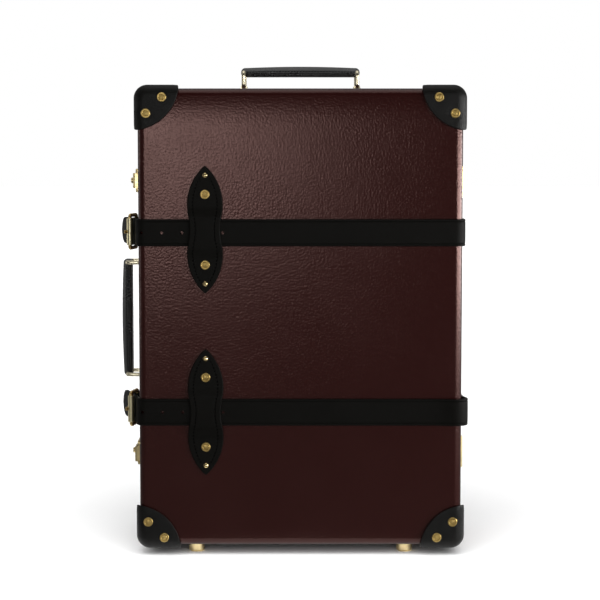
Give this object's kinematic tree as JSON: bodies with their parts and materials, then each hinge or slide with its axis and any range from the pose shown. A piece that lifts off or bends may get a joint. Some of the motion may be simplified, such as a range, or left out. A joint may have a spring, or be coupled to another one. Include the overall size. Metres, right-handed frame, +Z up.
{
  "type": "carry-on suitcase",
  "caption": "Upright cabin suitcase: pressed fibre lid and base, leather corners, buckled belts and carry handles, brass locks, hinges and feet, a telescopic pull handle and wheels.",
  "frame": {"origin": "centre of the overall footprint, at the floor under the feet and wheels", "axes": "+X to the hinge side, -Y towards the lid's face, +Z up"},
  "size_m": [0.3966, 0.1974, 0.5519],
  "materials": {
    "fibre": "pebbled, satin, dark oxblood vulcanised fibre",
    "frame_wood": "plain",
    "lining_cloth": "woven cloth",
    "corner_leather": "satin",
    "strap_leather": "satin, creased",
    "handle_leather": "satin, stitched",
    "rivet_brass": "worn polish",
    "buckle_brass": "polished",
    "handle_brass": "polished",
    "lock_brass": "polished",
    "steel": "ground",
    "tube_aluminium": "anodised satin",
    "black_plastic": "moulded",
    "button_plastic": "moulded",
    "hub_plastic": "moulded",
    "tyre": "matt"
  },
  "bodies": {
    "base": {"base_shell": "fibre", "base_frame": "frame_wood", "base_lining": "lining_cloth", "base_false_back": "lining_cloth", "base_corner_caps": "corner_leather", "base_rivets": "rivet_brass", "belt_upper_back": "strap_leather", "belt_lower_back": "strap_leather", "top_handle_brackets": "handle_brass", "side_handle_brackets": "handle_brass", "lock_cases": "lock_brass", "base_hinge_leaves": "lock_brass", "hinge_pins": "steel", "trolley_outer_tubes": "tube_aluminium", "trolley_foot_bar": "black_plastic", "trolley_cup": "black_plastic", "wheel_left_housing": "black_plastic", "wheel_right_housing": "black_plastic", "wheel_axles": "steel"},
    "lid": {"lid_shell": "fibre", "lid_frame": "frame_wood", "lid_lining": "lining_cloth", "lid_corner_caps": "corner_leather", "lid_rivets": "rivet_brass", "keeper_nails": "rivet_brass", "keeper_upper": "strap_leather", "keeper_lower": "strap_leather", "belt_upper_front": "strap_leather", "belt_lower_front": "strap_leather", "belt_upper_tail": "strap_leather", "belt_lower_tail": "strap_leather", "hasp_plates": "lock_brass", "lid_hinge_leaves": "lock_brass", "front_feet": "lock_brass"},
    "top_handle_loop_left": {"top_handle_loop_left": "handle_brass"},
    "top_handle_loop_right": {"top_handle_loop_right": "handle_brass"},
    "top_handle_grip": {"top_handle_grip": "handle_leather"},
    "side_handle_loop_lower": {"side_handle_loop_lower": "handle_brass"},
    "side_handle_loop_upper": {"side_handle_loop_upper": "handle_brass"},
    "side_handle_grip": {"side_handle_grip": "handle_leather"},
    "lock_upper_knob": {"lock_upper_knob": "lock_brass"},
    "lock_lower_knob": {"lock_lower_knob": "lock_brass"},
    "hasp_upper": {"hasp_upper": "lock_brass"},
    "hasp_lower": {"hasp_lower": "lock_brass"},
    "buckle_upper_frame": {"buckle_upper_frame": "buckle_brass"},
    "buckle_upper_tongue": {"buckle_upper_tongue": "buckle_brass"},
    "buckle_upper_roller": {"buckle_upper_roller": "buckle_brass"},
    "buckle_lower_frame": {"buckle_lower_frame": "buckle_brass"},
    "buckle_lower_tongue": {"buckle_lower_tongue": "buckle_brass"},
    "buckle_lower_roller": {"buckle_lower_roller": "buckle_brass"},
    "trolley_middle": {"trolley_middle_tubes": "tube_aluminium"},
    "trolley_inner": {"trolley_inner_tubes": "tube_aluminium", "trolley_grip": "black_plastic"},
    "trolley_button": {"trolley_button": "button_plastic"},
    "wheel_left": {"wheel_left_tyre": "tyre", "wheel_left_hub": "hub_plastic", "wheel_left_bearings": "steel"},
    "wheel_right": {"wheel_right_tyre": "tyre", "wheel_right_hub": "hub_plastic", "wheel_right_bearings": "steel"}
  },
  "joints": [
    {"name": "lid_hinge", "type": "hinge", "parent": "base", "child": "lid", "pos_m": [0.19512, -0.028, 0.263], "axis": [0, 0, 1], "range_deg": [0, 105], "deforming": ["belt_upper_tail", "belt_lower_tail"]},
    {"name": "top_handle_left_pivot", "type": "hinge", "parent": "base", "child": "top_handle_loop_left", "pos_m": [-0.05373, 0.02, 0.526], "axis": [0, 1, 0], "range_deg": [-70, 70]},
    {"name": "top_handle_right_pivot", "type": "hinge", "parent": "base", "child": "top_handle_loop_right", "pos_m": [0.07677, 0.02, 0.526], "axis": [0, 1, 0], "range_deg": [-70, 70]},
    {"name": "side_handle_lower_pivot", "type": "hinge", "parent": "base", "child": "side_handle_loop_lower", "pos_m": [-0.17247, 0.02, 0.19375], "axis": [0, 1, 0], "range_deg": [-70, 70]},
    {"name": "side_handle_upper_pivot", "type": "hinge", "parent": "base", "child": "side_handle_loop_upper", "pos_m": [-0.17247, 0.02, 0.32425], "axis": [0, 1, 0], "range_deg": [-70, 70]},
    {"name": "top_handle_grip_pivot", "type": "hinge", "parent": "top_handle_loop_left", "child": "top_handle_grip", "pos_m": [-0.05373, 0.02, 0.5432], "axis": [0, 1, 0], "range_deg": [-70, 70]},
    {"name": "side_handle_grip_pivot", "type": "hinge", "parent": "side_handle_loop_lower", "child": "side_handle_grip", "pos_m": [-0.18968, 0.02, 0.19375], "axis": [0, 1, 0], "range_deg": [-70, 70]},
    {"name": "lock_upper_slide", "type": "slide", "parent": "base", "child": "lock_upper_knob", "axis": [0, 0, 1], "range_m": [0, 0.005]},
    {"name": "hasp_upper_pivot", "type": "hinge", "parent": "lid", "child": "hasp_upper", "pos_m": [-0.17288, -0.037, 0.4195], "axis": [0, 0, 1], "range_deg": [0, 100]},
    {"name": "lock_lower_slide", "type": "slide", "parent": "base", "child": "lock_lower_knob", "axis": [0, 0, 1], "range_m": [0, 0.005]},
    {"name": "hasp_lower_pivot", "type": "hinge", "parent": "lid", "child": "hasp_lower", "pos_m": [-0.17288, -0.037, 0.1065], "axis": [0, 0, 1], "range_deg": [0, 100]},
    {"name": "buckle_upper_pivot", "type": "hinge", "parent": "base", "child": "buckle_upper_frame", "pos_m": [-0.17467, -0.041, 0.363], "axis": [0, 0, -1], "range_deg": [0, 60]},
    {"name": "buckle_upper_tongue_pivot", "type": "hinge", "parent": "buckle_upper_frame", "child": "buckle_upper_tongue", "pos_m": [-0.17467, -0.041, 0.363], "axis": [0, 0, -1], "range_deg": [0, 50]},
    {"name": "buckle_upper_roller_spin", "type": "hinge", "parent": "buckle_upper_frame", "child": "buckle_upper_roller", "pos_m": [-0.17947, -0.067, 0.363], "axis": [0, 0, 1], "continuous": true},
    {"name": "buckle_lower_pivot", "type": "hinge", "parent": "base", "child": "buckle_lower_frame", "pos_m": [-0.17467, -0.041, 0.163], "axis": [0, 0, -1], "range_deg": [0, 60]},
    {"name": "buckle_lower_tongue_pivot", "type": "hinge", "parent": "buckle_lower_frame", "child": "buckle_lower_tongue", "pos_m": [-0.17467, -0.041, 0.163], "axis": [0, 0, -1], "range_deg": [0, 50]},
    {"name": "buckle_lower_roller_spin", "type": "hinge", "parent": "buckle_lower_frame", "child": "buckle_lower_roller", "pos_m": [-0.17947, -0.067, 0.163], "axis": [0, 0, 1], "continuous": true},
    {"name": "trolley_middle_slide", "type": "slide", "parent": "base", "child": "trolley_middle", "axis": [0, 0, 1], "range_m": [0, 0.24]},
    {"name": "trolley_inner_slide", "type": "slide", "parent": "trolley_middle", "child": "trolley_inner", "axis": [0, 0, 1], "range_m": [0, 0.24]},
    {"name": "trolley_button_press", "type": "slide", "parent": "trolley_inner", "child": "trolley_button", "axis": [0, 0, -1], "range_m": [0, 0.003], "stiffness_N_per_m": 800, "springref_m": -0.001},
    {"name": "wheel_left_spin", "type": "hinge", "parent": "base", "child": "wheel_left", "pos_m": [-0.09448, 0.075, 0.022], "axis": [1, 0, 0], "continuous": true},
    {"name": "wheel_right_spin", "type": "hinge", "parent": "base", "child": "wheel_right", "pos_m": [0.11753, 0.075, 0.022], "axis": [1, 0, 0], "continuous": true}
  ],
  "couplings": [
    {"joint": "top_handle_right_pivot", "follows": "top_handle_left_pivot", "ratio": 1},
    {"joint": "top_handle_grip_pivot", "follows": "top_handle_left_pivot", "ratio": -1},
    {"joint": "side_handle_upper_pivot", "follows": "side_handle_lower_pivot", "ratio": 1},
    {"joint": "side_handle_grip_pivot", "follows": "side_handle_lower_pivot", "ratio": -1}
  ]
}
